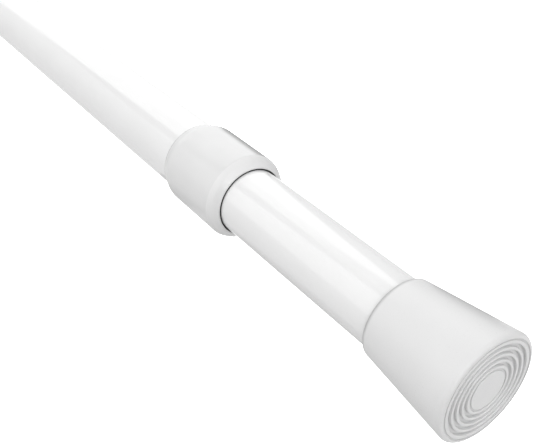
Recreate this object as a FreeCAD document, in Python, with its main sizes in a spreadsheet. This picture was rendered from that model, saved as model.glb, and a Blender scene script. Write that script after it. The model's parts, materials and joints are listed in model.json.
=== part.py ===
"""Spring tension rod: a thin tube that telescopes in a thick one, with a twist lock and a spring inside.

Millimetres. The origin is the centre of the thick tube's foot where it meets its wall, +X runs along
the rod to the thin tube's foot and +Z is up. Every piece is turned or cut about its own X axis and
then placed along the rod, so the stations below are distances from that wall.
"""
import FreeCAD, Part
import math
import os
import re

import Sketcher

SIZES = {
    # Tubes
    "outer_tube_diameter": 25.0,
    "outer_tube_wall": 0.7,
    "outer_tube_length": 364.0,
    "inner_tube_diameter": 22.0,
    "inner_tube_wall": 0.6,
    "inner_tube_length": 291.0,
    "exposed_length": 67.6,  # thin tube between the collar and its foot
    # Feet
    "foot_length": 30.4,
    "foot_rim_diameter": 31.8,
    "foot_neck_wall": 1.3,
    "foot_base": 5.0,
    "foot_rim_round": 1.5,
    "foot_neck_round": 1.1,
    "face_disc_diameter": 11.1,
    "face_rim_width": 1.63,
    "ridge_count": 5,
    "ridge_width": 0.72,
    "ridge_height": 0.8,
    "ridge_draft": 0.08,
    "disc_groove_width": 0.65,
    "rim_groove_width": 0.42,
    "rim_groove_depth": 0.4,
    # End plugs
    "plug_flange": 2.0,
    "plug_skirt_length": 10.0,
    "plug_skirt_wall": 1.6,
    "plug_lead": 0.8,
    # Collar
    "collar_diameter": 28.7,
    "collar_length": 32.0,
    "collar_nose_length": 3.8,
    "collar_nose_wall": 0.4,
    "collar_mouth_gap": 0.5,
    "collar_lip": 2.0,
    "collar_shoulder_round": 4.0,
    "collar_back_length": 4.0,
    "collar_back_drop": 1.4,
    "collar_back_round": 8.0,
    # Guide bush in the thick tube's mouth
    "bush_length": 20.0,
    "bush_flange": 1.0,
    "bush_recess": 0.25,
    # Guide plug and its rivets
    "guide_boss_length": 3.0,
    "guide_flange": 4.0,
    "guide_body_length": 22.0,
    "guide_lead": 1.0,
    "rivet_diameter": 3.0,
    "rivet_length": 4.2,
    "rivet_station": 11.0,
    "rivet_head_diameter": 5.0,
    "rivet_head_height": 0.5,
    # Spring and its seat
    "spring_length": 60.0,
    "spring_mean_diameter": 16.0,
    "spring_wire": 2.2,
    "spring_active_turns": 13,
    "spring_closed_pitch": 2.27,
    "seat_flange": 2.0,
    "seat_diameter": 19.4,
    "seat_boss_length": 3.0,
    # Spindle
    "thread_diameter": 10.0,
    "thread_tip": 2.0,
    "thread_lead": 1.0,
    "shoulder_diameter": 14.0,
    "shoulder_length": 3.0,
    "shank_flats": 8.0,
    "shank_tip": 2.0,
    "shank_groove_diameter": 6.4,
    "thread_groove_diameter": 7.4,
    # Washers and clips
    "washer_thickness": 1.0,
    "washer_width": 3.6,
    "clip_thickness": 1.0,
    "clip_width": 2.8,
    "clip_notch_diameter": 3.0,
    "clip_mouth": 4.4,
    # Expander sleeve, its ring and the wedge nut
    "sleeve_length": 34.0,
    "sleeve_taper_length": 20.0,
    "sleeve_mouth_diameter": 19.2,
    "sleeve_throat_diameter": 12.0,
    "sleeve_slot_count": 6,
    "sleeve_slot_width": 1.6,
    "sleeve_slot_length": 24.0,
    "sleeve_neck_start": 22.0,
    "sleeve_neck_width": 3.0,
    "sleeve_neck_depth": 2.4,
    "grip_groove_count": 6,
    "grip_groove_pitch": 3.2,
    "grip_groove_start": 2.2,
    "grip_groove_width": 0.9,
    "grip_groove_depth": 0.4,
    "ring_section": 2.0,
    "ring_station": 29.4,
    "nut_length": 17.0,
    "nut_lead": 2.0,
    "nut_key_count": 3,
    "nut_key_diameter": 22.0,
    "nut_travel": 4.0,
    # Clearances
    "press_gap": 0.05,
    "running_gap": 0.1,
    "wedge_gap": 0.15,
    "tube_gap": 0.1,
}

OUTER_RADIUS = "(outer_tube_diameter / 2)"
OUTER_BORE = "(outer_tube_diameter / 2 - outer_tube_wall)"
INNER_RADIUS = "(inner_tube_diameter / 2)"
INNER_BORE = "(inner_tube_diameter / 2 - inner_tube_wall)"
SPRING_BORE = "((spring_mean_diameter - spring_wire) / 2)"
SHANK_CORNER = "(shank_flats / 2 / cos(30))"
NUT_BORE = "(thread_diameter / 2 + running_gap)"
COLLAR_MOUTH_RADIUS = f"({INNER_RADIUS} + collar_mouth_gap)"

# Stations along the rod, from the wall at the thick tube's foot
OUTER_TUBE_START = "(foot_base + plug_flange)"
OUTER_TUBE_END = f"({OUTER_TUBE_START} + outer_tube_length)"
COLLAR_MOUTH = f"({OUTER_TUBE_END} + bush_flange + collar_lip)"
INNER_FACE = f"({COLLAR_MOUTH} + exposed_length + foot_length)"
INNER_PLUG_FACE = f"({INNER_FACE} - foot_base)"
INNER_TUBE_START = f"({INNER_PLUG_FACE} - plug_flange - inner_tube_length)"
GUIDE_START = f"({INNER_TUBE_START} - guide_flange - guide_boss_length)"
SPRING_START = f"({INNER_TUBE_START} - guide_flange - spring_length)"
SEAT_START = f"({SPRING_START} - seat_flange)"
SHOULDER_START = f"({SEAT_START} - shoulder_length)"
THRUST_START = f"({SHOULDER_START} - washer_thickness)"
SLEEVE_START = f"({THRUST_START} - press_gap - sleeve_length)"
NUT_START = f"({SLEEVE_START} - nut_lead)"
STOP_WASHER_START = f"({NUT_START} - nut_travel - running_gap - washer_thickness)"
STOP_CLIP_START = f"({STOP_WASHER_START} - clip_thickness)"
SPINDLE_START = f"({STOP_CLIP_START} - thread_tip)"
SHANK_WASHER_START = f"({INNER_TUBE_START} + guide_body_length + press_gap)"
SHANK_CLIP_START = f"({SHANK_WASHER_START} + washer_thickness)"
SHANK_END = f"({SHANK_CLIP_START} + clip_thickness + shank_tip)"

HALF_TURN = FreeCAD.Rotation(FreeCAD.Vector(0, 0, 1), 180)
TO_ROD_AXIS = FreeCAD.Rotation(FreeCAD.Vector(0, 1, 0), 90)
MATCH = 1e-4

doc = FreeCAD.newDocument("spring_tension_rod")


def make_sheet():
    """Puts every driving size in a spreadsheet cell with the size's name as its alias."""
    cells = doc.addObject("Spreadsheet::Sheet", "sizes")
    for row, (name, size) in enumerate(SIZES.items(), start=1):
        cells.set(f"A{row}", name)
        cells.set(f"B{row}", str(size))
        cells.setAlias(f"B{row}", name)
    doc.recompute()
    return cells


sheet = make_sheet()


def bound(formula):
    """Turns a formula of size names into an expression on the sheet's cells."""
    def cell(word):
        return f"sizes.{word.group()}" if word.group() in SIZES else word.group()
    return re.sub(r"[a-z][a-z_]*", cell, formula)


def measure(formula):
    """Works out a formula of size names as a plain number."""
    return float(sheet.evalExpression(bound(formula)))


def bind(item, target, formula):
    """Binds one property of a document object to a formula of size names."""
    item.setExpression(target, bound(formula))


def place(item, station, turned_round=False):
    """Places a piece along the rod, optionally facing the other way."""
    if turned_round:
        item.Placement = FreeCAD.Placement(FreeCAD.Vector(), HALF_TURN)
    bind(item, "Placement.Base.x", station)


def origin_item(body, role):
    """Finds a plane or an axis of a body's own origin."""
    return next(item for item in body.Origin.OriginFeatures if item.Role == role)


def new_sketch(body, name, plane, offset=None):
    """Starts a sketch on one of the body's origin planes, moved along its normal by offset."""
    sketch = body.newObject("Sketcher::SketchObject", name)
    sketch.AttachmentSupport = (origin_item(body, plane), "")
    sketch.MapMode = "FlatFace"
    if offset:
        bind(sketch, "AttachmentOffset.Base.z", offset)
    return sketch


def constrain(sketch, formula, kind, *points):
    """Adds a dimension to a sketch and binds it to a formula of size names."""
    index = sketch.addConstraint(Sketcher.Constraint(kind, *points, measure(formula)))
    bind(sketch, f"Constraints[{index}]", formula)


def fix_point(sketch, across, up, *point):
    """Fixes a point of a sketch by two formulas; "0" puts it on the sketch's own axis."""
    for formula, kind, axis in ((across, "DistanceX", -2), (up, "DistanceY", -1)):
        if formula == "0":
            sketch.addConstraint(Sketcher.Constraint("PointOnObject", *point, axis))
        else:
            constrain(sketch, formula, kind, -1, 1, *point)


def draw_outline(sketch, corners):
    """Draws a closed outline; each corner is a pair of formulas, and "0" lies on an axis."""
    first = sketch.GeometryCount
    places = [FreeCAD.Vector(measure(across), measure(up), 0) for across, up in corners]
    for start, end in zip(places, places[1:] + places[:1]):
        sketch.addGeometry(Part.LineSegment(start, end), False)
    for step, (across, up) in enumerate(corners):
        line = first + step
        following = first + (step + 1) % len(corners)
        sketch.addConstraint(Sketcher.Constraint("Coincident", line, 2, following, 1))
        fix_point(sketch, across, up, line, 1)


def draw_bar(sketch, width, low, high):
    """Draws a rectangle that is centred across the sketch and reaches from low to high."""
    half = measure(width) / 2
    bottom = measure(low)
    top = measure(high)
    corners = [(-half, bottom), (half, bottom), (half, top), (-half, top)]
    places = [FreeCAD.Vector(across, up, 0) for across, up in corners]
    for start, end in zip(places, places[1:] + places[:1]):
        sketch.addGeometry(Part.LineSegment(start, end), False)
    for line in range(len(corners)):
        sketch.addConstraint(Sketcher.Constraint("Coincident", line, 2, (line + 1) % len(corners), 1))
    for line, direction in ((1, "Vertical"), (2, "Horizontal"), (3, "Vertical")):
        sketch.addConstraint(Sketcher.Constraint(direction, line))
    sketch.addConstraint(Sketcher.Constraint("Symmetric", 0, 1, 0, 2, -2))
    constrain(sketch, width, "DistanceX", 0, 1, 0, 2)
    constrain(sketch, f"({high}) - ({low})", "DistanceY", 1, 1, 1, 2)
    constrain(sketch, low, "DistanceY", -1, 1, 0, 1)


def draw_hexagon(sketch, flats):
    """Draws a regular hexagon about the sketch's origin, given its width across flats."""
    sides = 6
    corner = f"({flats}) / 2 / cos(30)"
    reach = measure(corner)
    turn = 2 * math.pi / sides
    places = [FreeCAD.Vector(reach * math.cos(k * turn), reach * math.sin(k * turn), 0) for k in range(sides)]
    for start, end in zip(places, places[1:] + places[:1]):
        sketch.addGeometry(Part.LineSegment(start, end), False)
    rim = sketch.addGeometry(Part.Circle(FreeCAD.Vector(), FreeCAD.Vector(0, 0, 1), reach), True)
    sketch.addConstraint(Sketcher.Constraint("Coincident", rim, 3, -1, 1))
    constrain(sketch, corner, "Radius", rim)
    for side in range(sides):
        sketch.addConstraint(Sketcher.Constraint("Coincident", side, 2, (side + 1) % sides, 1))
        sketch.addConstraint(Sketcher.Constraint("PointOnObject", side, 1, rim))
    for side in range(1, sides):
        sketch.addConstraint(Sketcher.Constraint("Equal", 0, side))
    sketch.addConstraint(Sketcher.Constraint("PointOnObject", 0, 1, -1))


def draw_circle(sketch, radius, across, up="0"):
    """Draws a circle; its centre is a pair of formulas, and "0" lies on an axis."""
    centre = FreeCAD.Vector(measure(across), measure(up), 0)
    rim = sketch.addGeometry(Part.Circle(centre, FreeCAD.Vector(0, 0, 1), measure(radius)), False)
    constrain(sketch, radius, "Radius", rim)
    fix_point(sketch, across, up, rim, 3)


def turn(body, kind, name, sketch, axis="H_Axis"):
    """Adds a Revolution, or cuts a Groove, about one of the sketch's axes."""
    feature = body.newObject(f"PartDesign::{kind}", name)
    feature.Profile = sketch
    feature.ReferenceAxis = (sketch, [axis])
    feature.Angle = 360
    return feature


def raise_from(body, kind, name, sketch, length=None, other_way=False):
    """Adds a Pad, or cuts a Pocket, from a sketch; a pocket with no length goes through everything."""
    feature = body.newObject(f"PartDesign::{kind}", name)
    feature.Profile = sketch
    if length:
        bind(feature, "Length", length)
    else:
        feature.Type = "ThroughAll"
    feature.Reversed = other_way
    return feature


def repeat_round(body, name, feature, count):
    """Repeats a feature evenly about the body's X axis."""
    pattern = body.newObject("PartDesign::PolarPattern", name)
    pattern.Originals = [feature]
    pattern.Axis = (origin_item(body, "X_Axis"), [""])
    pattern.Angle = 360
    bind(pattern, "Occurrences", count)
    body.Tip = pattern
    return pattern


def ring_edges(shape, rings):
    """Names the circular edges about the X axis that lie at the given stations and radii."""
    names = []
    for station, radius in rings:
        for index, edge in enumerate(shape.Edges, start=1):
            if not isinstance(edge.Curve, Part.Circle):
                continue
            on_station = abs(edge.Curve.Center.x - measure(station)) < MATCH
            if on_station and abs(edge.Curve.Radius - measure(radius)) < MATCH:
                names.append(f"Edge{index}")
    return names


def round_rings(body, name, radius, rings):
    """Rounds the circular edges of the body's last feature at the given stations and radii."""
    doc.recompute()
    base = body.Tip
    names = ring_edges(base.Shape, rings)
    if len(names) != len(rings):
        raise RuntimeError(f"{name}: found {len(names)} of {len(rings)} edges")
    fillet = body.newObject("PartDesign::Fillet", name)
    fillet.Base = (base, names)
    bind(fillet, "Radius", radius)
    doc.recompute()


def turned_body(name, corners):
    """Makes a body by turning an outline of (station, radius) corners about the X axis."""
    body = doc.addObject("PartDesign::Body", name)
    sketch = new_sketch(body, f"{name}_outline", "XZ_Plane")
    draw_outline(sketch, corners)
    turn(body, "Revolution", f"{name}_turn", sketch)
    return body


def check_change(body, name, before, grows):
    """Stops if a feature left the body's volume as it was, or changed it the wrong way."""
    doc.recompute()
    change = body.Shape.Volume - before
    if abs(change) < MATCH or (change > 0) != grows:
        raise RuntimeError(f"{name}: volume changed by {change:.4f}")


def make_tube(name, radius, bore, length, station):
    """One drawn steel tube."""
    body = turned_body(name, [("0", bore), ("0", radius), (length, radius), (length, bore)])
    place(body, station)
    return body


def drill_rivet_holes(body, name, start, along, radius):
    """Drills the two opposite rivet holes, from start outwards, at a distance along the body."""
    doc.recompute()
    before = body.Shape.Volume
    sketch = new_sketch(body, f"{name}_circle", "XY_Plane", start)
    draw_circle(sketch, radius, along)
    hole = raise_from(body, "Pocket", name, sketch, other_way=True)
    repeat_round(body, f"{name}_pair", hole, "2")
    check_change(body, name, before, grows=False)


def make_inner_tube():
    """The thin tube, drilled near its hidden end for the guide plug's rivets."""
    body = make_tube("inner_tube", INNER_RADIUS, INNER_BORE, "inner_tube_length", INNER_TUBE_START)
    drill_rivet_holes(body, "inner_tube_rivet_hole", f"{INNER_BORE} / 2", "rivet_station",
                      "rivet_diameter / 2 + press_gap")
    return body


def make_foot(name, tube_radius, station, turned_round=False):
    """A tapered rubber foot; its face has a flat disc, ring ridges and a rounded rim."""
    rim = "(foot_rim_diameter / 2)"
    neck = f"({tube_radius} + foot_neck_wall)"
    socket = f"({tube_radius} + press_gap)"
    body = turned_body(name, [
        ("0", "0"),
        ("0", rim),
        ("foot_length", neck),
        ("foot_length", socket),
        ("foot_base", socket),
        ("foot_base", "0"),
    ])
    round_rings(body, f"{name}_rim_round", "foot_rim_round", [("0", rim)])
    round_rings(body, f"{name}_neck_round", "foot_neck_round", [("foot_length", neck)])
    cut_face_grooves(body, name, rim)
    place(body, station, turned_round)
    return body


def cut_face_grooves(body, name, rim):
    """Cuts the ring grooves that leave the ridges standing between the disc and the rim."""
    before = body.Shape.Volume
    disc = "(face_disc_diameter / 2)"
    first = f"({disc} + disc_groove_width)"
    last = f"({rim} - face_rim_width - rim_groove_width)"
    pitch = f"(({last} - {first} - ridge_width) / (ridge_count - 1))"
    grooves = [(disc, first, "ridge_height")]
    for ridge in range(1, SIZES["ridge_count"]):
        outside = f"({first} + {ridge} * {pitch})"
        grooves.append((f"({outside} - {pitch} + ridge_width)", outside, "ridge_height"))
    grooves.append((last, f"({last} + rim_groove_width)", "rim_groove_depth"))
    sketch = new_sketch(body, f"{name}_groove_outlines", "XZ_Plane")
    for inside, outside, depth in grooves:
        draw_outline(sketch, [
            ("0", inside),
            ("0", outside),
            (depth, f"{outside} - ridge_draft"),
            (depth, f"{inside} + ridge_draft"),
        ])
    turn(body, "Groove", f"{name}_grooves", sketch)
    check_change(body, f"{name}_grooves", before, grows=False)


def make_end_plug(name, tube_radius, tube_bore, station, turned_round=False):
    """A moulded cup that closes a tube's end, so that the sheet edge doesn't cut the rubber."""
    skirt = f"({tube_bore} - press_gap)"
    depth = "(plug_flange + plug_skirt_length)"
    body = turned_body(name, [
        ("0", "0"),
        ("0", tube_radius),
        ("plug_flange", tube_radius),
        ("plug_flange", skirt),
        (f"{depth} - plug_lead", skirt),
        (depth, f"{skirt} - plug_lead / 2"),
        (depth, f"{skirt} - plug_skirt_wall"),
        ("plug_flange", f"{skirt} - plug_skirt_wall"),
        ("plug_flange", "0"),
    ])
    place(body, station, turned_round)
    return body


def make_collar():
    """The moulded collar on the thick tube's mouth, with a sloped nose, a lip and a tapered back."""
    radius = "(collar_diameter / 2)"
    socket = f"({OUTER_RADIUS} + press_gap)"
    shoulder = "(collar_length - collar_nose_length)"
    body = turned_body("collar", [
        ("0", socket),
        ("0", f"{radius} - collar_back_drop"),
        ("collar_back_length", radius),
        (shoulder, radius),
        ("collar_length", f"{COLLAR_MOUTH_RADIUS} + collar_nose_wall"),
        ("collar_length", COLLAR_MOUTH_RADIUS),
        ("collar_length - collar_lip", COLLAR_MOUTH_RADIUS),
        ("collar_length - collar_lip", socket),
    ])
    round_rings(body, "collar_back_edge", "collar_back_round", [("collar_back_length", radius)])
    round_rings(body, "collar_shoulder_edge", "collar_shoulder_round", [(shoulder, radius)])
    place(body, f"{COLLAR_MOUTH} - collar_length")
    return body


def make_mouth_bush():
    """The black liner in the thick tube's mouth that guides the thin tube, held by the collar's lip."""
    bore = f"({INNER_RADIUS} + running_gap)"
    liner = f"({OUTER_BORE} - press_gap)"
    neck = f"({COLLAR_MOUTH_RADIUS} - press_gap)"
    front = "(bush_length + bush_flange + collar_lip - bush_recess)"
    body = turned_body("mouth_bush", [
        ("0", bore),
        ("0", liner),
        ("bush_length", liner),
        ("bush_length", OUTER_RADIUS),
        ("bush_length + bush_flange", OUTER_RADIUS),
        ("bush_length + bush_flange", neck),
        (front, neck),
        (front, bore),
    ])
    place(body, f"{OUTER_TUBE_END} - bush_length")
    return body


def make_guide_plug():
    """The plug in the thin tube's hidden end: spring boss, sliding flange and a hexagonal hole."""
    boss = f"({SPRING_BORE} - running_gap)"
    flange_start = "guide_boss_length"
    body_start = "(guide_boss_length + guide_flange)"
    end = f"({body_start} + guide_body_length)"
    skirt = f"({INNER_BORE} - press_gap)"
    body = turned_body("guide_plug", [
        ("0", "0"),
        ("0", boss),
        (flange_start, boss),
        (flange_start, f"{OUTER_BORE} - tube_gap"),
        (body_start, f"{OUTER_BORE} - tube_gap"),
        (body_start, skirt),
        (f"{end} - guide_lead", skirt),
        (end, f"{skirt} - guide_lead / 2"),
        (end, "0"),
    ])
    doc.recompute()
    before = body.Shape.Volume
    sketch = new_sketch(body, "guide_plug_hexagon", "YZ_Plane")
    draw_hexagon(sketch, "shank_flats + 2 * running_gap")
    raise_from(body, "Pocket", "guide_plug_hexagon_hole", sketch, other_way=True)
    check_change(body, "guide_plug_hexagon_hole", before, grows=False)
    drill_rivet_holes(body, "guide_plug_rivet_hole", f"{INNER_RADIUS} - rivet_length - press_gap",
                      f"{body_start} + rivet_station", "rivet_diameter / 2 + press_gap")
    place(body, GUIDE_START)
    return body


def make_plug_rivets():
    """Two domed rivets, opposite each other, through the thin tube into the guide plug."""
    body = doc.addObject("PartDesign::Body", "plug_rivet")
    sketch = new_sketch(body, "plug_rivet_outline", "XZ_Plane")
    shank = "rivet_diameter / 2"
    head = "rivet_head_diameter / 2"
    top = f"{INNER_RADIUS} + rivet_head_height"
    draw_outline(sketch, [
        ("0", f"{INNER_RADIUS} - rivet_length"),
        (shank, f"{INNER_RADIUS} - rivet_length"),
        (shank, INNER_RADIUS),
        (head, INNER_RADIUS),
        (f"{head} - rivet_head_height", top),
        ("0", top),
    ])
    turn(body, "Revolution", "plug_rivet_turn", sketch, axis="V_Axis")
    other = doc.addObject("Part::Mirroring", "plug_rivet_opposite")
    other.Source = body
    other.Normal = FreeCAD.Vector(0, 0, 1)
    pair = doc.addObject("Part::Compound", "plug_rivets")
    pair.Links = [body, other]
    place(pair, f"{INNER_TUBE_START} + rivet_station")
    return pair


def make_spring_seat():
    """The flanged washer that carries the spring on the spindle's shoulder."""
    boss = f"({SPRING_BORE} - running_gap)"
    bore = f"({SHANK_CORNER} + running_gap)"
    end = "(seat_flange + seat_boss_length)"
    body = turned_body("spring_seat", [
        ("0", bore),
        ("0", "seat_diameter / 2"),
        ("seat_flange", "seat_diameter / 2"),
        ("seat_flange", boss),
        (end, boss),
        (end, bore),
    ])
    place(body, SEAT_START)
    return body


def make_spring():
    """The compression spring: open turns between one closed turn at each end, with both ends ground flat."""
    radius = measure("spring_mean_diameter / 2")
    length = measure("spring_length")
    wire_radius = measure("spring_wire / 2")
    closed = measure("spring_closed_pitch")
    active = length - 2 * closed
    stretches = [(closed, closed), (active / measure("spring_active_turns"), active), (closed, closed)]
    edges = []
    height = 0
    angle = 0
    for pitch, rise in stretches:
        helix = Part.makeHelix(pitch, rise, radius)
        turned = FreeCAD.Rotation(FreeCAD.Vector(0, 0, 1), angle)
        helix.Placement = FreeCAD.Placement(FreeCAD.Vector(0, 0, height), turned)
        edges.extend(helix.Edges)
        height += rise
        angle += 360 * rise / pitch
    spine = Part.Wire(Part.sortEdges(edges)[0])
    section = Part.Wire([Part.makeCircle(wire_radius, FreeCAD.Vector(radius, 0, 0), FreeCAD.Vector(0, 1, 0))])
    coil = spine.makePipeShell([section], True, True)
    kept = Part.makeCylinder(radius + 2 * wire_radius, length)
    spring = doc.addObject("Part::Feature", "spring")
    spring.Shape = coil.common(kept)
    spring.Placement = FreeCAD.Placement(FreeCAD.Vector(), TO_ROD_AXIS)
    bind(spring, "Placement.Base.x", SPRING_START)
    return spring


def make_spindle():
    """The steel spindle: threaded end, shoulder and hexagonal shank, with a clip groove at each end."""
    thread = "(thread_diameter / 2)"
    shoulder_start = f"({SHOULDER_START} - {SPINDLE_START})"
    shoulder_end = f"({shoulder_start} + shoulder_length)"
    body = turned_body("spindle", [
        ("0", "0"),
        ("0", f"{thread} - thread_lead"),
        ("thread_lead", thread),
        (shoulder_start, thread),
        (shoulder_start, "shoulder_diameter / 2"),
        (shoulder_end, "shoulder_diameter / 2"),
        (shoulder_end, "0"),
    ])
    doc.recompute()
    before = body.Shape.Volume
    sketch = new_sketch(body, "spindle_hexagon", "YZ_Plane", shoulder_end)
    draw_hexagon(sketch, "shank_flats")
    raise_from(body, "Pad", "spindle_shank", sketch, f"{SHANK_END} - {SEAT_START}")
    check_change(body, "spindle_shank", before, grows=True)
    before = body.Shape.Volume
    sketch = new_sketch(body, "spindle_groove_outlines", "XZ_Plane")
    for station, groove, outside in (
        ("thread_tip", "thread_groove_diameter / 2", thread),
        (f"({SHANK_CLIP_START} - {SPINDLE_START})", "shank_groove_diameter / 2", SHANK_CORNER),
    ):
        far_side = f"{station} + clip_thickness"
        beyond = f"{outside} + clip_thickness"
        draw_outline(sketch, [(station, groove), (station, beyond), (far_side, beyond), (far_side, groove)])
    turn(body, "Groove", "spindle_clip_grooves", sketch)
    check_change(body, "spindle_clip_grooves", before, grows=False)
    place(body, SPINDLE_START)
    return body


def make_washer(name, bore, station):
    """A plain washer of the common thickness and width."""
    rim = f"({bore} + washer_width)"
    corners = [("0", bore), ("0", rim), ("washer_thickness", rim), ("washer_thickness", bore)]
    body = turned_body(name, corners)
    place(body, station)
    return body


def make_clip(name, groove, station):
    """An E-clip: two notches leave three lugs in the groove, and a mouth lets it be pushed on."""
    seat = f"({groove} + press_gap)"
    rim = f"({seat} + clip_width)"
    corners = [("0", seat), ("0", rim), ("clip_thickness", rim), ("clip_thickness", seat)]
    body = turned_body(name, corners)
    doc.recompute()
    before = body.Shape.Volume
    sketch = new_sketch(body, f"{name}_mouth_outline", "YZ_Plane")
    draw_bar(sketch, "clip_mouth", f"{seat} / 2", f"{rim} + clip_width")
    sketch.AttachmentOffset = FreeCAD.Placement(FreeCAD.Vector(), HALF_TURN)
    raise_from(body, "Pocket", f"{name}_mouth", sketch, other_way=True)
    check_change(body, f"{name}_mouth", before, grows=False)
    before = body.Shape.Volume
    sketch = new_sketch(body, f"{name}_notch_outline", "YZ_Plane")
    draw_circle(sketch, "clip_notch_diameter / 2", f"{seat} * cos(30)", f"{seat} * sin(30)")
    notch = raise_from(body, "Pocket", f"{name}_notch", sketch, other_way=True)
    pair = body.newObject("PartDesign::Mirrored", f"{name}_notches")
    pair.Originals = [notch]
    pair.MirrorPlane = (origin_item(body, "XZ_Plane"), [""])
    body.Tip = pair
    check_change(body, f"{name}_notches", before, grows=False)
    place(body, station)
    return body


def make_sleeve():
    """The slotted sleeve: six petals with a tapered bore on a plain ring that carries the friction ring."""
    radius = f"({OUTER_BORE} - tube_gap)"
    neck = f"({radius} - sleeve_neck_depth)"
    neck_end = "(sleeve_neck_start + sleeve_neck_width)"
    seat = f"({OUTER_BORE} - tube_gap / 2 - ring_section)"
    seat_start = "(ring_station - ring_section / 2)"
    seat_end = "(ring_station + ring_section / 2)"
    body = turned_body("expander_sleeve", [
        ("0", "sleeve_mouth_diameter / 2"),
        ("0", radius),
        ("sleeve_neck_start", radius),
        ("sleeve_neck_start", neck),
        (neck_end, neck),
        (neck_end, radius),
        (seat_start, radius),
        (seat_start, seat),
        (seat_end, seat),
        (seat_end, radius),
        ("sleeve_length", radius),
        ("sleeve_length", NUT_BORE),
        ("sleeve_taper_length", NUT_BORE),
        ("sleeve_taper_length", "sleeve_throat_diameter / 2"),
    ])
    cut_grip_grooves(body, radius)
    before = body.Shape.Volume
    sketch = new_sketch(body, "sleeve_slot_outline", "YZ_Plane")
    draw_bar(sketch, "sleeve_slot_width", f"{NUT_BORE} / 2", f"{radius} + sleeve_slot_width")
    slot = raise_from(body, "Pocket", "sleeve_slot", sketch, "sleeve_slot_length", other_way=True)
    repeat_round(body, "sleeve_slots", slot, "sleeve_slot_count")
    check_change(body, "sleeve_slots", before, grows=False)
    place(body, SLEEVE_START)
    return body


def cut_grip_grooves(body, radius):
    """Cuts the row of shallow grip grooves round the outside of the sleeve's petals."""
    doc.recompute()
    before = body.Shape.Volume
    floor = f"{radius} - grip_groove_depth"
    beyond = f"{radius} + grip_groove_depth"
    start = "grip_groove_start"
    end = "grip_groove_start + grip_groove_width"
    sketch = new_sketch(body, "grip_groove_outline", "XZ_Plane")
    draw_outline(sketch, [(start, floor), (start, beyond), (end, beyond), (end, floor)])
    groove = turn(body, "Groove", "grip_groove", sketch)
    row = body.newObject("PartDesign::LinearPattern", "grip_grooves")
    row.Originals = [groove]
    row.Direction = (origin_item(body, "X_Axis"), [""])
    bind(row, "Length", "grip_groove_pitch * (grip_groove_count - 1)")
    bind(row, "Occurrences", "grip_groove_count")
    body.Tip = row
    check_change(body, "grip_grooves", before, grows=False)


def make_friction_ring():
    """The rubber ring that drags on the thick tube, so that the sleeve stays put while the spindle turns."""
    ring = doc.addObject("Part::Torus", "friction_ring")
    bind(ring, "Radius2", "ring_section / 2 - press_gap / 2")
    bind(ring, "Radius1", f"{OUTER_BORE} - tube_gap / 2 - ring_section / 2")
    ring.Placement = FreeCAD.Placement(FreeCAD.Vector(), TO_ROD_AXIS)
    bind(ring, "Placement.Base.x", f"{SLEEVE_START} + ring_station")
    return ring


def make_wedge_nut():
    """The tapered nut that spreads the sleeve's petals, with keys that run in the sleeve's slots."""
    big = "(sleeve_mouth_diameter / 2 - wedge_gap)"
    slope = "((sleeve_mouth_diameter - sleeve_throat_diameter) / 2 / sleeve_taper_length)"
    body = turned_body("wedge_nut", [
        ("0", NUT_BORE),
        ("0", big),
        ("nut_lead", big),
        ("nut_length", f"{big} - {slope} * (nut_length - nut_lead)"),
        ("nut_length", NUT_BORE),
    ])
    doc.recompute()
    before = body.Shape.Volume
    sketch = new_sketch(body, "nut_key_outline", "YZ_Plane")
    draw_bar(sketch, "sleeve_slot_width - 2 * running_gap", f"{NUT_BORE} + wedge_gap", "nut_key_diameter / 2")
    key = raise_from(body, "Pad", "nut_key", sketch, "nut_length")
    repeat_round(body, "nut_keys", key, "nut_key_count")
    check_change(body, "nut_keys", before, grows=True)
    place(body, NUT_START)
    return body


def make_pieces():
    """Makes every piece of the rod, from the thick tube's foot to the thin tube's."""
    return [
        make_foot("outer_foot", OUTER_RADIUS, "0"),
        make_end_plug("outer_end_plug", OUTER_RADIUS, OUTER_BORE, "foot_base"),
        make_tube("outer_tube", OUTER_RADIUS, OUTER_BORE, "outer_tube_length", OUTER_TUBE_START),
        make_collar(),
        make_mouth_bush(),
        make_sleeve(),
        make_friction_ring(),
        make_wedge_nut(),
        make_spindle(),
        make_washer("stop_washer", NUT_BORE, STOP_WASHER_START),
        make_clip("stop_clip", "thread_groove_diameter / 2", STOP_CLIP_START),
        make_washer("thrust_washer", NUT_BORE, THRUST_START),
        make_spring_seat(),
        make_spring(),
        make_guide_plug(),
        make_plug_rivets(),
        make_washer("shank_washer", f"({SHANK_CORNER} + running_gap)", SHANK_WASHER_START),
        make_clip("shank_clip", "shank_groove_diameter / 2", SHANK_CLIP_START),
        make_inner_tube(),
        make_end_plug("inner_end_plug", INNER_RADIUS, INNER_BORE, INNER_PLUG_FACE, turned_round=True),
        make_foot("inner_foot", INNER_RADIUS, INNER_FACE, turned_round=True),
    ]


def check_document(pieces):
    """Stops if any object of the document failed, or any piece isn't a valid solid."""
    for item in doc.Objects:
        if "Invalid" in item.State or "Error" in item.State:
            raise RuntimeError(f"{item.Label} failed: {item.State}")
    for piece in pieces:
        shape = piece.Shape
        if shape.isNull() or not shape.isValid() or not shape.Solids:
            raise RuntimeError(f"{piece.Label} is not a valid solid")


def export(pieces):
    """Writes each piece to its own STEP file."""
    os.makedirs("parts", exist_ok=True)
    for piece in pieces:
        piece.Shape.exportStep(f"parts/{piece.Label}.step")
        box = piece.Shape.BoundBox
        print(f"{piece.Label}: {piece.Shape.Volume:.1f} mm3, x {box.XMin:.2f} to {box.XMax:.2f}")


all_pieces = make_pieces()
doc.recompute()
check_document(all_pieces)
export(all_pieces)
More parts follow.
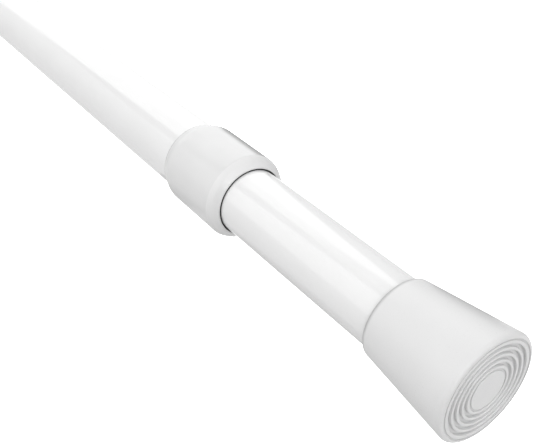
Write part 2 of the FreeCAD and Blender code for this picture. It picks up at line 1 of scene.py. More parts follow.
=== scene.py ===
"""Dresses the spring tension rod: turned pieces, a wound spring, a cut thread, finishes, light and camera.

Metres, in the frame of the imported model: +X runs along the rod to the thin tube's foot and +Z is up.
Sizes and outlines are written in millimetres. A corner of an outline is (distance along the rod, radius,
round), and the outline is turned about X.
"""
import json
import math

import bmesh
import bpy
from mathutils import Matrix, Vector


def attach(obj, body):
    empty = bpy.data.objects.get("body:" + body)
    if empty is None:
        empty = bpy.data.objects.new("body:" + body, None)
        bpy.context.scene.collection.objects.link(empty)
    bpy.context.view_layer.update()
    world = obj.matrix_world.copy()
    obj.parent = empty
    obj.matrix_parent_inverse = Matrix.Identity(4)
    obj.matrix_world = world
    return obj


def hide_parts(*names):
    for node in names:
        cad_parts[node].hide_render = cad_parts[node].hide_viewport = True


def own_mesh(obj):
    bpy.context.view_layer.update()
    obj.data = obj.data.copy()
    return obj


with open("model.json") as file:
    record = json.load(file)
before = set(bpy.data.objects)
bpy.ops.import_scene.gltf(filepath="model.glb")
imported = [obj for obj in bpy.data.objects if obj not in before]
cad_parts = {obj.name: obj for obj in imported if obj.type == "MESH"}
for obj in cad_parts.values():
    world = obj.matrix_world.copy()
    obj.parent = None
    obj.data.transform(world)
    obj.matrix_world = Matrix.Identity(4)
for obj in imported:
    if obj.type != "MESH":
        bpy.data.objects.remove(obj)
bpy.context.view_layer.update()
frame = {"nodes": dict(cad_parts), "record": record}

MM = 0.001
WHITE = (1, 1, 1, 1)
BLACK = (0, 0, 0, 1)
SECOND_MATERIAL = 1

# Fineness of the meshes, and the limits that tell their faces and edges apart
SEGMENTS = 160
ARC_STEP = math.radians(15)
FEWEST_ARC_STEPS = 4
ROUND_SHARE = 0.98
SHARP_EDGE = math.radians(35)
FLAT_WEIGHT = 100
ON_AXIS = 1e-6
SLIVER = 2e-6
DRILL_SEGMENTS = 48
INWARD = -0.5
NOSE_SLOPE = 0.3

# Tubes and fits. From here on in millimetres, as in the solids or within half a millimetre of them
OUTER_FACE = 0.0
INNER_FACE = 472.0
OUTER_RADIUS = 12.5
OUTER_BORE = 11.8
OUTER_TUBE_LENGTH = 364.0
INNER_RADIUS = 11.09
INNER_BORE = 10.4
INNER_TUBE_LENGTH = 291.0
TUBE_EDGE_ROUND = 0.2
END_PLUG_FLANGE = 2.0
RIVET_FROM_END = 11.0
RIVET_HOLE_RADIUS = 1.55
PRESS_GAP = 0.05
RUNNING_GAP = 0.06

# Feet
FOOT_LENGTH = 30.75
FOOT_RIM = 15.95
FOOT_RIM_ROUND = 1.15
FOOT_BASE = 5.0
FOOT_NECK_WALL = 1.3
FOOT_NECK_ROUND = 0.8
SOCKET_MOUTH_ROUND = 0.15
SOCKET_FLOOR_ROUND = 0.3
DISC_RADIUS = 5.55
DISC_GROOVE_DEPTH = 0.32
RIDGE_INSIDE = 6.2
RIDGE_WIDTH = 0.72
RIDGE_PITCH = 1.7325
RIDGE_COUNT = 5
RIDGE_HEIGHT = 0.8
RIDGE_DRAFT = 0.08
RIDGE_ROUND = 0.14
LAST_RIDGE_WIDTH = 0.9
GROOVE_ROUND = 0.08
RIM_GROOVE_WIDTH = 0.5
RIM_GROOVE_DEPTH = 0.24
RIM_GROOVE_ROUND = 0.05

# Collar and bush
COLLAR_LENGTH = 32.0
COLLAR_RADIUS = 14.42
COLLAR_BACK_RADIUS = 12.95
COLLAR_BACK_LENGTH = 4.0
COLLAR_BACK_ROUND = 8.0
COLLAR_SHOULDER = 28.2
COLLAR_SHOULDER_ROUND = 1.6
COLLAR_CROWN = 30.3
COLLAR_CROWN_RADIUS = 13.5
COLLAR_CROWN_ROUND = 3.0
COLLAR_NOSE_RADIUS = 12.1
COLLAR_EDGE_ROUND = 0.15
COLLAR_MOUTH_RADIUS = 11.5
COLLAR_MOUTH_ROUND = 0.12
COLLAR_LIP = 2.0
BUSH_LENGTH = 20.0
BUSH_FLANGE = 1.0
BUSH_PROUD = 0.1
BUSH_LEAD_ROUND = 0.2
BUSH_STEP_ROUND = 0.05
BUSH_FRONT_ROUND = 0.08
SMALL_ROUND = 0.1

# Spring
SPRING_START = 110.0
SPRING_END = 170.0
SPRING_RADIUS = 8.0
SPRING_WIRE_RADIUS = 1.1
SPRING_ACTIVE_TURNS = 13
SPRING_CLOSED_TURNS = 1
SPRING_CLOSED_PITCH = 2.27

# Spindle
SPINDLE_START = 59.85
TIP_GROOVE_START = 61.85
TIP_GROOVE_RADIUS = 3.7
TIP_CHAMFER = 1.0
THREAD_START = 62.85
THREAD_RADIUS = 5.0
THREAD_ROOT = 4.1
THREAD_PITCH = 2.0
THREAD_FLAT_SHARE = 0.1
SHOULDER_START = 105.0
SHOULDER_END = 108.0
SHOULDER_RADIUS = 7.0
SHANK_HALF_FLATS = 4.0
SHANK_GROOVE_START = 197.05
SHANK_GROOVE_END = 198.05
SHANK_GROOVE_RADIUS = 3.2
SPINDLE_BEVEL = 0.4
SPINDLE_END = 200.05

# Stations that follow from these sizes
OUTER_TUBE_START = OUTER_FACE + FOOT_BASE + END_PLUG_FLANGE
OUTER_TUBE_END = OUTER_TUBE_START + OUTER_TUBE_LENGTH
INNER_TUBE_START = INNER_FACE - FOOT_BASE - END_PLUG_FLANGE - INNER_TUBE_LENGTH
RIVET_STATION = INNER_TUBE_START + RIVET_FROM_END
BUSH_START = OUTER_TUBE_END - BUSH_LENGTH
COLLAR_START = OUTER_TUBE_END + BUSH_FLANGE + COLLAR_LIP - COLLAR_LENGTH


def arc_between(before, corner, after, radius, room):
    """Points of the arc that rounds a corner of an outline, with no more room than given on each side."""
    towards_before = (before - corner).normalized()
    towards_after = (after - corner).normalized()
    opening = towards_before.angle(towards_after)
    reach = min(radius / math.tan(opening / 2), room)
    radius = reach * math.tan(opening / 2)
    centre = corner + (towards_before + towards_after).normalized() * (radius / math.sin(opening / 2))
    start = corner + towards_before * reach - centre
    end = corner + towards_after * reach - centre
    sweep = start.angle_signed(end)
    steps = max(FEWEST_ARC_STEPS, math.ceil(abs(sweep) / ARC_STEP))
    first = math.atan2(start.y, start.x)
    points = []
    for step in range(steps + 1):
        angle = first - sweep * step / steps
        points.append(centre + Vector((math.cos(angle), math.sin(angle))) * radius)
    return points


def rounded(corners, closed):
    """The points of an outline, with an arc at each corner that has a round."""
    places = [Vector(corner[:2]) for corner in corners]
    rounds = [corner[2] for corner in corners]
    points = []
    for index, place in enumerate(places):
        is_end = not closed and index in (0, len(corners) - 1)
        if is_end or rounds[index] == 0:
            points.append(place)
            continue
        after = (index + 1) % len(places)
        room = min(
            (places[beside] - place).length * ROUND_SHARE * rounds[index] / (rounds[index] + rounds[beside])
            for beside in (index - 1, after)
        )
        points.extend(arc_between(places[index - 1], place, places[after], rounds[index], room))
    return points


def on_ring(along, radius, angle):
    """A point at a station and radius in millimetres, and an angle from +Y towards +Z."""
    return Vector((along, radius * math.cos(angle), radius * math.sin(angle))) * MM


def join_rings(mesh, rings, closed):
    """Faces between neighbouring rings; a ring of one vertex closes an end."""
    pairs = list(zip(rings, rings[1:]))
    if closed:
        pairs.append((rings[-1], rings[0]))
    for ring, after in pairs:
        segments = max(len(ring), len(after))
        for index in range(segments):
            beside = (index + 1) % segments
            if len(ring) == 1:
                mesh.faces.new((ring[0], after[beside], after[index]))
            elif len(after) == 1:
                mesh.faces.new((ring[index], ring[beside], after[0]))
            else:
                mesh.faces.new((ring[index], ring[beside], after[beside], after[index]))


def add_piece(name, mesh):
    """A new object from a bmesh, smooth but for its sharp edges, with its normals turned outward."""
    bmesh.ops.recalc_face_normals(mesh, faces=mesh.faces)
    for edge in mesh.edges:
        edge.smooth = edge.calc_face_angle(0) < SHARP_EDGE
    data = bpy.data.meshes.new(name)
    mesh.to_mesh(data)
    mesh.free()
    data.shade_smooth()
    piece = bpy.data.objects.new(name, data)
    bpy.context.scene.collection.objects.link(piece)
    return piece


def even_normals(piece):
    """Keeps the flats flat in the shading, beside narrow rounds."""
    modifier = piece.modifiers.new("even_normals", "WEIGHTED_NORMAL")
    modifier.weight = FLAT_WEIGHT
    modifier.keep_sharp = True


def turned(name, corners, station, closed=True, facing=1):
    """A piece turned about the rod's axis from an outline that starts at a station."""
    mesh = bmesh.new()
    rings = []
    for along, radius in rounded(corners, closed):
        x = station + facing * along
        if radius < ON_AXIS:
            rings.append([mesh.verts.new((x * MM, 0, 0))])
            continue
        ring = []
        for index in range(SEGMENTS):
            ring.append(mesh.verts.new(on_ring(x, radius, 2 * math.pi * index / SEGMENTS)))
        rings.append(ring)
    join_rings(mesh, rings, closed)
    piece = add_piece(name, mesh)
    even_normals(piece)
    return piece


def dress(piece, body, node, slot, *materials):
    """Ties a piece to its body, gives it its finishes and hides the node that it stands for."""
    for material in materials:
        piece.data.materials.append(material)
    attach(piece, body)
    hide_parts(node)


def finish_inside(piece):
    """Gives the faces that look at the axis the piece's second material."""
    for face in piece.data.polygons:
        outward = Vector((0, face.center.y, face.center.z)).normalized()
        if face.normal.dot(outward) < INWARD:
            face.material_index = SECOND_MATERIAL


def paint_nose_lighter(piece):
    """Gives the faces of the collar's sloped nose the piece's second material, a copy of its plastic painted
    lighter for the light that falls on the nose.
    """
    for face in piece.data.polygons:
        if face.normal.x > NOSE_SLOPE and face.center.x > (COLLAR_START + COLLAR_SHOULDER) * MM:
            face.material_index = SECOND_MATERIAL


def foot_corners(tube_radius):
    """A foot's outline, from the middle of its face round to the middle of its socket."""
    neck = tube_radius + FOOT_NECK_WALL
    socket = tube_radius + PRESS_GAP
    corners = [
        (0, 0, 0),
        (0, DISC_RADIUS, RIDGE_ROUND),
        (DISC_GROOVE_DEPTH, DISC_RADIUS + RIDGE_DRAFT, GROOVE_ROUND),
    ]
    for ridge in range(RIDGE_COUNT):
        is_last = ridge == RIDGE_COUNT - 1
        depth_before = RIDGE_HEIGHT if ridge else DISC_GROOVE_DEPTH
        depth_after = RIM_GROOVE_DEPTH if is_last else RIDGE_HEIGHT
        inside = RIDGE_INSIDE + ridge * RIDGE_PITCH
        outside = inside + (LAST_RIDGE_WIDTH if is_last else RIDGE_WIDTH)
        corners += [
            (depth_before, inside - RIDGE_DRAFT, GROOVE_ROUND),
            (0, inside, RIDGE_ROUND),
            (0, outside, RIDGE_ROUND),
            (depth_after, outside + RIDGE_DRAFT, GROOVE_ROUND),
        ]
    rim_start = outside + RIM_GROOVE_WIDTH
    corners += [
        (RIM_GROOVE_DEPTH, rim_start - RIDGE_DRAFT, GROOVE_ROUND),
        (0, rim_start, RIM_GROOVE_ROUND),
        (0, FOOT_RIM, FOOT_RIM_ROUND),
        (FOOT_LENGTH, neck, FOOT_NECK_ROUND),
        (FOOT_LENGTH, socket, SOCKET_MOUTH_ROUND),
        (FOOT_BASE, socket, SOCKET_FLOOR_ROUND),
        (FOOT_BASE, 0, 0),
    ]
    return corners


def tube_corners(length, radius, bore):
    """A tube's outline, its sheet edges a little rounded."""
    return [
        (0, bore, TUBE_EDGE_ROUND),
        (0, radius, TUBE_EDGE_ROUND),
        (length, radius, TUBE_EDGE_ROUND),
        (length, bore, TUBE_EDGE_ROUND),
    ]


def collar_corners():
    """The collar's outline: tapered back, straight body, crowned nose and the lip at its mouth."""
    seat = OUTER_RADIUS + PRESS_GAP
    lip_start = COLLAR_LENGTH - COLLAR_LIP
    return [
        (0, seat, SMALL_ROUND),
        (0, COLLAR_BACK_RADIUS, COLLAR_EDGE_ROUND),
        (COLLAR_BACK_LENGTH, COLLAR_RADIUS, COLLAR_BACK_ROUND),
        (COLLAR_SHOULDER, COLLAR_RADIUS, COLLAR_SHOULDER_ROUND),
        (COLLAR_CROWN, COLLAR_CROWN_RADIUS, COLLAR_CROWN_ROUND),
        (COLLAR_LENGTH, COLLAR_NOSE_RADIUS, COLLAR_EDGE_ROUND),
        (COLLAR_LENGTH, COLLAR_MOUTH_RADIUS, COLLAR_MOUTH_ROUND),
        (lip_start, COLLAR_MOUTH_RADIUS, SMALL_ROUND),
        (lip_start, seat, SMALL_ROUND),
    ]


def bush_corners():
    """The bush's outline: a liner in the thick tube, a flange on its end and a neck in the collar's mouth."""
    bore = INNER_RADIUS + RUNNING_GAP
    liner = OUTER_BORE - PRESS_GAP
    neck = COLLAR_MOUTH_RADIUS - PRESS_GAP
    flange_end = BUSH_LENGTH + BUSH_FLANGE
    front = flange_end + COLLAR_LIP + BUSH_PROUD
    return [
        (0, bore, SMALL_ROUND),
        (0, liner, BUSH_LEAD_ROUND),
        (BUSH_LENGTH, liner, BUSH_STEP_ROUND),
        (BUSH_LENGTH, OUTER_RADIUS, SMALL_ROUND),
        (flange_end, OUTER_RADIUS, SMALL_ROUND),
        (flange_end, neck, BUSH_STEP_ROUND),
        (front, neck, BUSH_FRONT_ROUND),
        (front, bore, BUSH_FRONT_ROUND),
    ]


def add_drill(station, radius):
    """A round bar across the rod at a station, along Z and longer than the tubes are wide."""
    mesh = bmesh.new()
    place = Matrix.Translation((station * MM, 0, 0))
    bmesh.ops.create_cone(mesh, cap_ends=True, segments=DRILL_SEGMENTS, radius1=radius * MM,
                          radius2=radius * MM, depth=4 * OUTER_RADIUS * MM, matrix=place)
    data = bpy.data.meshes.new("drill")
    mesh.to_mesh(data)
    mesh.free()
    drill = bpy.data.objects.new("drill", data)
    bpy.context.scene.collection.objects.link(drill)
    return drill


def drill_across(piece, station, radius):
    """Cuts two opposite round holes through a tube's wall, and clears the slivers that this leaves."""
    drill = add_drill(station, radius)
    modifier = piece.modifiers.new("holes", "BOOLEAN")
    modifier.operation = "DIFFERENCE"
    modifier.solver = "EXACT"
    modifier.object = drill
    bpy.context.view_layer.update()
    drilled = bpy.data.meshes.new_from_object(piece.evaluated_get(bpy.context.evaluated_depsgraph_get()))
    mesh = bmesh.new()
    mesh.from_mesh(drilled)
    bmesh.ops.dissolve_degenerate(mesh, dist=SLIVER, edges=mesh.edges)
    mesh.to_mesh(drilled)
    mesh.free()
    piece.modifiers.clear()
    piece.data = drilled
    bpy.data.objects.remove(drill)


def wound_spring():
    """The spring's wire along its helix, its end turns closed and ground flat."""
    mesh = bmesh.new()
    wire_segments = 16
    steps_per_turn = 48
    turns = SPRING_ACTIVE_TURNS + 2 * SPRING_CLOSED_TURNS
    closed_length = 2 * SPRING_CLOSED_TURNS * SPRING_CLOSED_PITCH
    active_length = SPRING_END - SPRING_START - closed_length
    rings = []
    for step in range(turns * steps_per_turn + 1):
        turn = step / steps_per_turn
        first_turns = min(turn, SPRING_CLOSED_TURNS)
        last_turns = max(turn - SPRING_ACTIVE_TURNS - SPRING_CLOSED_TURNS, 0)
        closed_turns = first_turns + last_turns
        active_turns = turn - closed_turns
        along = SPRING_START + closed_turns * SPRING_CLOSED_PITCH
        along += active_turns * active_length / SPRING_ACTIVE_TURNS
        angle = 2 * math.pi * turn
        ring = []
        for index in range(wire_segments):
            around = 2 * math.pi * index / wire_segments
            x = along + SPRING_WIRE_RADIUS * math.sin(around)
            x = min(max(x, SPRING_START), SPRING_END)
            radius = SPRING_RADIUS + SPRING_WIRE_RADIUS * math.cos(around)
            ring.append(mesh.verts.new(on_ring(x, radius, angle)))
        rings.append(ring)
    join_rings(mesh, rings, False)
    mesh.faces.new(rings[0])
    mesh.faces.new(rings[-1])
    return add_piece("wound_spring", mesh)


def thread_radius(along, angle):
    """The radius of the threaded end, with flat crests and roots; the thread runs out at both of its ends."""
    turn = (along / THREAD_PITCH - angle / (2 * math.pi)) % 1
    flank = (abs(2 * turn - 1) - THREAD_FLAT_SHARE) / (1 - 2 * THREAD_FLAT_SHARE)
    depth = min(max(flank, 0), 1) * (THREAD_RADIUS - THREAD_ROOT)
    runout = min((along - THREAD_START) / THREAD_PITCH, (SHOULDER_START - along) / THREAD_PITCH, 1)
    return THREAD_RADIUS - depth * max(runout, 0)


def shank_radius(along, angle):
    """The radius of the hexagonal shank, which is the same all along it."""
    sixth = math.pi / 3
    return SHANK_HALF_FLATS / math.cos(angle % sixth - sixth / 2)


def spindle_sections():
    """The spindle from its tip, as pairs of a station and a radius or a function that gives it."""
    sections = [
        (SPINDLE_START, THREAD_RADIUS - TIP_CHAMFER),
        (SPINDLE_START + TIP_CHAMFER, THREAD_RADIUS),
        (TIP_GROOVE_START, THREAD_RADIUS),
        (TIP_GROOVE_START, TIP_GROOVE_RADIUS),
        (THREAD_START, TIP_GROOVE_RADIUS),
    ]
    steps_per_turn = 20
    steps = round((SHOULDER_START - THREAD_START) / THREAD_PITCH * steps_per_turn)
    for step in range(steps + 1):
        sections.append((THREAD_START + (SHOULDER_START - THREAD_START) * step / steps, thread_radius))
    sections += [
        (SHOULDER_START, SHOULDER_RADIUS - SPINDLE_BEVEL),
        (SHOULDER_START + SPINDLE_BEVEL, SHOULDER_RADIUS),
        (SHOULDER_END - SPINDLE_BEVEL, SHOULDER_RADIUS),
        (SHOULDER_END, SHOULDER_RADIUS - SPINDLE_BEVEL),
        (SHOULDER_END, shank_radius),
        (SHANK_GROOVE_START, shank_radius),
        (SHANK_GROOVE_START, SHANK_GROOVE_RADIUS),
        (SHANK_GROOVE_END, SHANK_GROOVE_RADIUS),
        (SHANK_GROOVE_END, shank_radius),
        (SPINDLE_END - SPINDLE_BEVEL, shank_radius),
        (SPINDLE_END, SHANK_HALF_FLATS - SPINDLE_BEVEL),
    ]
    return sections


def threaded_spindle():
    """The spindle with its thread cut, its shoulder and its hexagonal shank."""
    mesh = bmesh.new()
    segments = 72
    rings = [[mesh.verts.new((SPINDLE_START * MM, 0, 0))]]
    for along, shape in spindle_sections():
        ring = []
        for index in range(segments):
            angle = 2 * math.pi * index / segments
            radius = shape(along, angle) if callable(shape) else shape
            ring.append(mesh.verts.new(on_ring(along, radius, angle)))
        rings.append(ring)
    rings.append([mesh.verts.new((SPINDLE_END * MM, 0, 0))])
    join_rings(mesh, rings, False)
    return add_piece("threaded_spindle", mesh)


# Finishes: the part of a noise's range that is used, its detail, and the height of reliefs in metres
NOISE_LOW = 0.3
NOISE_HIGH = 0.7
CLOUD_DETAIL = 3.0
GRAIN_DETAIL = 2.0
RELIEF_HEIGHT = 0.0001
EVEN = (1, 1, 1)
DRAWN_ALONG = (0.1, 1, 1)

# Painted shade, darkening the colour in the feet's grooves and where the feet and the collar end on the
# tubes:
# their reach in millimetres, and the share of the colour that is left at the darkest
GROOVE_SHADE_REACH = 0.6
GROOVE_SHADE = 0.42
GROOVE_SHADE_SAMPLES = 8
FOOT_LINE_REACH = 1.5
FOOT_LINE_SHADE = 0.45
COLLAR_LINE_REACH = 0.9
COLLAR_LINE_SHADE = 0.7


def new_finish(name, **settings):
    """A material with constant settings on its shader's sockets, whose spaces are written as underscores."""
    material = bpy.data.materials.new(name)
    material.use_nodes = True
    shader = material.node_tree.nodes["Principled BSDF"]
    for socket, value in settings.items():
        shader.inputs[socket.replace("_", " ")].default_value = value
    return material


def tree_of(material):
    """A material's nodes, links and shader."""
    nodes = material.node_tree.nodes
    return nodes, material.node_tree.links, nodes["Principled BSDF"]


def noise_on(material, scale, detail, stretch):
    """A noise in the piece's own space, its features about 1 / scale metres wide."""
    nodes, links, _ = tree_of(material)
    coordinates = nodes.new("ShaderNodeTexCoord")
    mapping = nodes.new("ShaderNodeMapping")
    mapping.inputs["Scale"].default_value = stretch
    links.new(coordinates.outputs["Object"], mapping.inputs["Vector"])
    noise = nodes.new("ShaderNodeTexNoise")
    noise.inputs["Scale"].default_value = scale
    noise.inputs["Detail"].default_value = detail
    links.new(mapping.outputs["Vector"], noise.inputs["Vector"])
    return noise.outputs["Fac"]


def vary_colour(material, source, dark, light):
    """Lets the colour drift between two shades."""
    nodes, links, shader = tree_of(material)
    ramp = nodes.new("ShaderNodeValToRGB")
    low, high = ramp.color_ramp.elements
    low.position = NOISE_LOW
    high.position = NOISE_HIGH
    low.color = dark
    high.color = light
    links.new(source, ramp.inputs["Fac"])
    links.new(ramp.outputs["Color"], shader.inputs["Base Color"])


def vary_roughness(material, source, low, high):
    """Lets the gloss drift between two values."""
    nodes, links, shader = tree_of(material)
    span = nodes.new("ShaderNodeMapRange")
    span.inputs["From Min"].default_value = NOISE_LOW
    span.inputs["From Max"].default_value = NOISE_HIGH
    span.inputs["To Min"].default_value = low
    span.inputs["To Max"].default_value = high
    links.new(source, span.inputs["Value"])
    links.new(span.outputs["Result"], shader.inputs["Roughness"])


def raise_bump(material, source, strength):
    """A fine relief on the surface."""
    nodes, links, shader = tree_of(material)
    bump = nodes.new("ShaderNodeBump")
    bump.inputs["Strength"].default_value = strength
    bump.inputs["Distance"].default_value = RELIEF_HEIGHT
    links.new(source, bump.inputs["Height"])
    links.new(bump.outputs["Normal"], shader.inputs["Normal"])


def make_finish(name, shades, gloss, grain, relief, stretch=EVEN, **settings):
    """A finish with drifting colour and gloss over a fine relief; grain has a coarse and a fine scale."""
    material = new_finish(name, **settings)
    coarse_scale, fine_scale = grain
    cloud = noise_on(material, coarse_scale, CLOUD_DETAIL, stretch)
    fine = noise_on(material, fine_scale, GRAIN_DETAIL, stretch)
    vary_colour(material, cloud, *shades)
    vary_roughness(material, fine, *gloss)
    raise_bump(material, fine, relief)
    return material


def scale_colour(material, factor):
    """Darkens the colour by a factor that other nodes give."""
    nodes, links, shader = tree_of(material)
    base = shader.inputs["Base Color"]
    scaled = nodes.new("ShaderNodeVectorMath")
    scaled.operation = "SCALE"
    links.new(base.links[0].from_socket, scaled.inputs[0])
    links.new(factor, scaled.inputs["Scale"])
    links.new(scaled.outputs["Vector"], base)


def paint_groove_shade(material, reach, darkest):
    """Paints shade into the colour of the narrow hollows of the piece itself, within a reach in millimetres.
    """
    nodes, links, _ = tree_of(material)
    hollow = nodes.new("ShaderNodeAmbientOcclusion")
    hollow.only_local = True
    hollow.samples = GROOVE_SHADE_SAMPLES
    hollow.inputs["Distance"].default_value = reach * MM
    span = nodes.new("ShaderNodeMapRange")
    span.inputs["To Min"].default_value = darkest
    links.new(hollow.outputs["AO"], span.inputs["Value"])
    scale_colour(material, span.outputs["Result"])


def paint_contact_shade(material, station, reach, darkest):
    """Painted shade as a soft dark line round the rod at a station, with a reach in millimetres to both
    sides.
    """
    nodes, links, _ = tree_of(material)
    coordinates = nodes.new("ShaderNodeTexCoord")
    parts = nodes.new("ShaderNodeSeparateXYZ")
    links.new(coordinates.outputs["Object"], parts.inputs["Vector"])
    distance = nodes.new("ShaderNodeMath")
    distance.operation = "SUBTRACT"
    distance.inputs[1].default_value = station * MM
    links.new(parts.outputs["X"], distance.inputs[0])
    away = nodes.new("ShaderNodeMath")
    away.operation = "ABSOLUTE"
    links.new(distance.outputs["Value"], away.inputs[0])
    span = nodes.new("ShaderNodeMapRange")
    span.interpolation_type = "SMOOTHSTEP"
    span.inputs["From Max"].default_value = reach * MM
    span.inputs["To Min"].default_value = darkest
    links.new(away.outputs["Value"], span.inputs["Value"])
    scale_colour(material, span.outputs["Result"])


def grey(level):
    """A neutral colour."""
    return (level, level, level, 1)


tube_paint = make_finish(
    "tube_paint", shades=(grey(0.85), grey(0.87)), gloss=(0.10, 0.14), grain=(60, 900), relief=0.02,
    Coat_Weight=1.0, Coat_Roughness=0.05,
)
# The collar's body and nose are one plastic in two copies: the body's painted darker and the nose's lighter,
# for how the light falls on them.
collar_plastic = make_finish(
    "collar_plastic", shades=(grey(0.75), grey(0.77)), gloss=(0.17, 0.22), grain=(90, 5000), relief=0.03,
    Specular_IOR_Level=0.58,
)
nose_painted_lighter = make_finish(
    "nose_painted_lighter", shades=(grey(0.79), grey(0.81)), gloss=(0.17, 0.22), grain=(90, 5000), relief=0.03,
)
foot_rubber = make_finish(
    "foot_rubber", shades=(grey(0.76), grey(0.78)), gloss=(0.27, 0.33), grain=(70, 4000), relief=0.08,
)
bare_steel = make_finish(
    "bare_steel", shades=(grey(0.22), grey(0.30)), gloss=(0.35, 0.50), grain=(120, 1500), relief=0.1,
    stretch=DRAWN_ALONG, Metallic=1.0,
)
lock_nylon = make_finish(
    "lock_nylon", shades=((0.82, 0.80, 0.73, 1), (0.88, 0.86, 0.80, 1)), gloss=(0.38, 0.48),
    grain=(80, 3000), relief=0.08,
)
# A real bush, made near black so that it also paints the shade in the gap at the collar's mouth.
bush_nylon = make_finish(
    "bush_nylon", shades=(grey(0.012), grey(0.022)), gloss=(0.5, 0.65), grain=(300, 4000), relief=0.1,
)
ring_rubber = make_finish(
    "ring_rubber", shades=(grey(0.015), grey(0.03)), gloss=(0.55, 0.75), grain=(300, 4000), relief=0.3,
)
spring_steel = make_finish(
    "spring_steel", shades=((0.46, 0.46, 0.48, 1), (0.58, 0.58, 0.60, 1)), gloss=(0.22, 0.36),
    grain=(150, 2500), relief=0.15, Metallic=1.0,
)
zinc_steel = make_finish(
    "zinc_steel", shades=((0.60, 0.61, 0.63, 1), (0.74, 0.75, 0.77, 1)), gloss=(0.20, 0.34),
    grain=(200, 2500), relief=0.12, Metallic=1.0,
)
FINISHES = {
    "tube_paint": tube_paint,
    "collar_plastic": collar_plastic,
    "foot_rubber": foot_rubber,
    "lock_nylon": lock_nylon,
    "bush_nylon": bush_nylon,
    "ring_rubber": ring_rubber,
    "spring_steel": spring_steel,
    "zinc_steel": zinc_steel,
}

for subpart in frame["record"]["subparts"]:
    node = frame["nodes"][subpart["node"]]
    node.data.materials.clear()
    node.data.materials.append(FINISHES[subpart["material_slot"]])

# Painted shade in the hollows of the feet's grooves
paint_groove_shade(foot_rubber, GROOVE_SHADE_REACH, GROOVE_SHADE)
# Painted shade as soft lines where the feet and the collar end on the tubes
for foot_end in (INNER_FACE - FOOT_LENGTH, OUTER_FACE + FOOT_LENGTH):
    paint_contact_shade(foot_rubber, foot_end, FOOT_LINE_REACH, FOOT_LINE_SHADE)
paint_contact_shade(collar_plastic, COLLAR_START, COLLAR_LINE_REACH, COLLAR_LINE_SHADE)

# Feet
inner_foot = turned("foot_on_thin_tube", foot_corners(INNER_RADIUS), INNER_FACE, closed=False, facing=-1)
dress(inner_foot, "inner", "inner_foot", "foot_rubber", foot_rubber)
outer_foot = turned("foot_on_thick_tube", foot_corners(OUTER_RADIUS), OUTER_FACE, closed=False)
dress(outer_foot, "outer", "outer_foot", "foot_rubber", foot_rubber)

# Tubes, painted outside and bare inside
thin_corners = tube_corners(INNER_TUBE_LENGTH, INNER_RADIUS, INNER_BORE)
inner_tube = turned("thin_tube", thin_corners, INNER_TUBE_START)
drill_across(inner_tube, RIVET_STATION, RIVET_HOLE_RADIUS)
even_normals(inner_tube)
dress(inner_tube, "inner", "inner_tube", "tube_paint", tube_paint, bare_steel)
finish_inside(inner_tube)
thick_corners = tube_corners(OUTER_TUBE_LENGTH, OUTER_RADIUS, OUTER_BORE)
outer_tube = turned("thick_tube", thick_corners, OUTER_TUBE_START)
dress(outer_tube, "outer", "outer_tube", "tube_paint", tube_paint, bare_steel)
finish_inside(outer_tube)

# Collar and bush
collar = turned("mouth_collar", collar_corners(), COLLAR_START)
dress(collar, "outer", "collar", "collar_plastic", collar_plastic, nose_painted_lighter)
paint_nose_lighter(collar)
bush = turned("guide_bush", bush_corners(), BUSH_START)
dress(bush, "outer", "mouth_bush", "bush_nylon", bush_nylon)

# Spring and spindle
spring = wound_spring()
dress(spring, "lock_spindle", "spring", "spring_steel", spring_steel)
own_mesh(spring)
spindle = threaded_spindle()
dress(spindle, "lock_spindle", "spindle", "zinc_steel", zinc_steel)

# A plain white floor, in metres, that doesn't change the light on the rod
FLOOR_HEIGHT = -2.0
FLOOR_HALF = 6.0
floor_mesh = bmesh.new()
bmesh.ops.create_grid(floor_mesh, size=FLOOR_HALF, matrix=Matrix.Translation((0, 0, FLOOR_HEIGHT)))
floor = add_piece("floor", floor_mesh)
floor_white = new_finish("floor_white", Base_Color=WHITE, Emission_Color=WHITE, Emission_Strength=1.0)
floor.data.materials.append(floor_white)
floor.visible_diffuse = False
floor.visible_glossy = False
floor.visible_shadow = False

# Flags beside the foot and the collar, seen only as the darker edges of their reflections: the brightness
# of each, then its corners in millimetres
FLAGS = {
    "collar_flag": (0.0, [(285, 45, -36), (326, 45, -36), (326, 60.5, 11.5), (285, 60.5, 11.5)]),
    "collar_low_flag": (0.5, [(222, -95, -100), (258, -95, -100), (258, 5, -100), (222, 5, -100)]),
    "foot_flag": (0.0, [(403, 62, -40), (432, 62, -40), (432, 72.6, 28), (403, 72.6, 28)]),
}
for flag_name, (flag_brightness, flag_corners) in FLAGS.items():
    flag_mesh = bmesh.new()
    flag_mesh.faces.new([flag_mesh.verts.new(Vector(corner) * MM) for corner in flag_corners])
    flag = add_piece(flag_name, flag_mesh)
    flag_finish = new_finish(flag_name, Base_Color=BLACK, Specular_IOR_Level=0.0, Emission_Color=WHITE,
                             Emission_Strength=flag_brightness)
    flag.data.materials.append(flag_finish)
    flag.visible_camera = False
    flag.visible_diffuse = False
    flag.visible_shadow = False

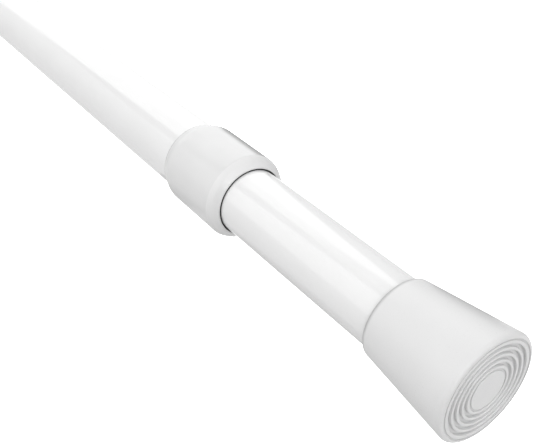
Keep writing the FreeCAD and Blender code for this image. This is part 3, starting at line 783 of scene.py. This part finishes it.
# The studio's light: an even surround, and soft panels in it that are brighter or darker. Each has its first
# and last azimuth and elevation in degrees, then its brightness. Azimuth 0 looks along +X and 90 along +Y.
# A later panel covers an earlier one.
SURROUND = 1.0
PANELS = {
    "below": (150, 300, -120, -45, 0.75),
    "low_front": (-90, 45, -45, -5, 0.45),
    "low_right": (45, 105, -45, -20, 1.25),
    "low_back": (164, 195, -20, 5, 0.8),
    "back_edge": (135, 164, -45, 5, 1.45),
    "right_back": (116, 135, -20, 25, 1.05),
    "back_window": (134, 164, 5, 52, 2.1),
    "back_wall": (164, 195, 5, 52, 1.7),
    "window_strip": (-170, -150, 40, 65, 0.7),
    "low_strip": (-165, -151, 25, 40, 0.6),
    "left_wall": (-151, -83, 25, 52, 1.65),
    "left_low_wall": (-140, -83, 5, 25, 1.7),
    "left_gap": (-83, -45, -5, 25, 0.1),
    "front": (-45, 45, -5, 52, 1.6),
    "overhead": (-135, 45, 52, 65, 1.4),
    "top": (-200, 200, 65, 120, 1.15),
    "right": (45, 103, -20, 52, 0.5),
    "right_strip": (103, 116, -20, 25, 0.45),
    "key": (-44, -26, 26, 44, 7.2),
}
HALF_EDGE = 2.0
HALF_TURN = 180

world = bpy.data.worlds.new("studio")
bpy.context.scene.world = world
world.use_nodes = True
world_nodes = world.node_tree.nodes
world_links = world.node_tree.links
world_nodes.clear()


def work_out(operation, *values):
    """A Math node on numbers or other nodes' outputs; returns its output."""
    node = world_nodes.new("ShaderNodeMath")
    node.operation = operation
    for index, value in enumerate(values):
        if isinstance(value, (int, float)):
            node.inputs[index].default_value = value
        else:
            world_links.new(value, node.inputs[index])
    return node.outputs["Value"]


def soft_step(value, middle):
    """0 below a middle and 1 above it, with a soft edge."""
    node = world_nodes.new("ShaderNodeMapRange")
    node.interpolation_type = "SMOOTHSTEP"
    world_links.new(value, node.inputs["Value"])
    node.inputs["From Min"].default_value = middle - HALF_EDGE
    node.inputs["From Max"].default_value = middle + HALF_EDGE
    return node.outputs["Result"]


def panel_cover(azimuth, elevation, panel):
    """1 in the directions that a panel covers and 0 in the others, with soft edges."""
    first, last, lowest, highest, _ = panel
    turned_away = work_out("WRAP", work_out("SUBTRACT", azimuth, (first + last) / 2), HALF_TURN, -HALF_TURN)
    beside = soft_step(work_out("ABSOLUTE", turned_away), (last - first) / 2)
    above = soft_step(elevation, highest)
    height = work_out("SUBTRACT", soft_step(elevation, lowest), above)
    return work_out("MULTIPLY", work_out("SUBTRACT", 1.0, beside), height)


def make_studio():
    """A surround of soft panels for the light, and plain white behind for the camera."""
    direction = world_nodes.new("ShaderNodeTexCoord").outputs["Generated"]
    parts = world_nodes.new("ShaderNodeSeparateXYZ")
    world_links.new(direction, parts.inputs["Vector"])
    elevation = work_out("DEGREES", work_out("ARCSINE", parts.outputs["Z"]))
    azimuth = work_out("DEGREES", work_out("ARCTAN2", parts.outputs["Y"], parts.outputs["X"]))
    light = SURROUND
    for panel in PANELS.values():
        change = work_out("SUBTRACT", panel[-1], light)
        light = work_out("MULTIPLY_ADD", panel_cover(azimuth, elevation, panel), change, light)
    surround = world_nodes.new("ShaderNodeBackground")
    world_links.new(light, surround.inputs["Strength"])
    behind = world_nodes.new("ShaderNodeBackground")
    behind.inputs["Color"].default_value = WHITE
    choice = world_nodes.new("ShaderNodeMixShader")
    path = world_nodes.new("ShaderNodeLightPath")
    world_links.new(path.outputs["Is Camera Ray"], choice.inputs["Fac"])
    world_links.new(surround.outputs["Background"], choice.inputs[1])
    world_links.new(behind.outputs["Background"], choice.inputs[2])
    output = world_nodes.new("ShaderNodeOutputWorld")
    world_links.new(choice.outputs["Shader"], output.inputs["Surface"])


make_studio()

# The photograph's camera: its place from the middle of the thin tube's foot in millimetres, the way that it
# looks, and its focal length in pixels of a picture of this width
CAMERA_FROM_FACE = (76.18, -117.84, 139.12)
CAMERA_DIRECTION = (-0.66787, 0.47543, -0.57263)
FOCAL_PIXELS = 798.34
IMAGE_WIDTH = 533
SENSOR_WIDTH = 36.0
NEAREST_SEEN = 5.0

camera_data = bpy.data.cameras.new("camera")
camera_data.sensor_fit = "HORIZONTAL"
camera_data.sensor_width = SENSOR_WIDTH
camera_data.lens = SENSOR_WIDTH * FOCAL_PIXELS / IMAGE_WIDTH
camera_data.clip_start = NEAREST_SEEN * MM
camera = bpy.data.objects.new("camera", camera_data)
camera.location = Vector((INNER_FACE * MM, 0, 0)) + Vector(CAMERA_FROM_FACE) * MM
camera.rotation_mode = "QUATERNION"
camera.rotation_quaternion = Vector(CAMERA_DIRECTION).to_track_quat("-Z", "Y")
bpy.context.scene.collection.objects.link(camera)
bpy.context.scene.camera = camera

bpy.context.scene.view_settings.view_transform = "Standard"
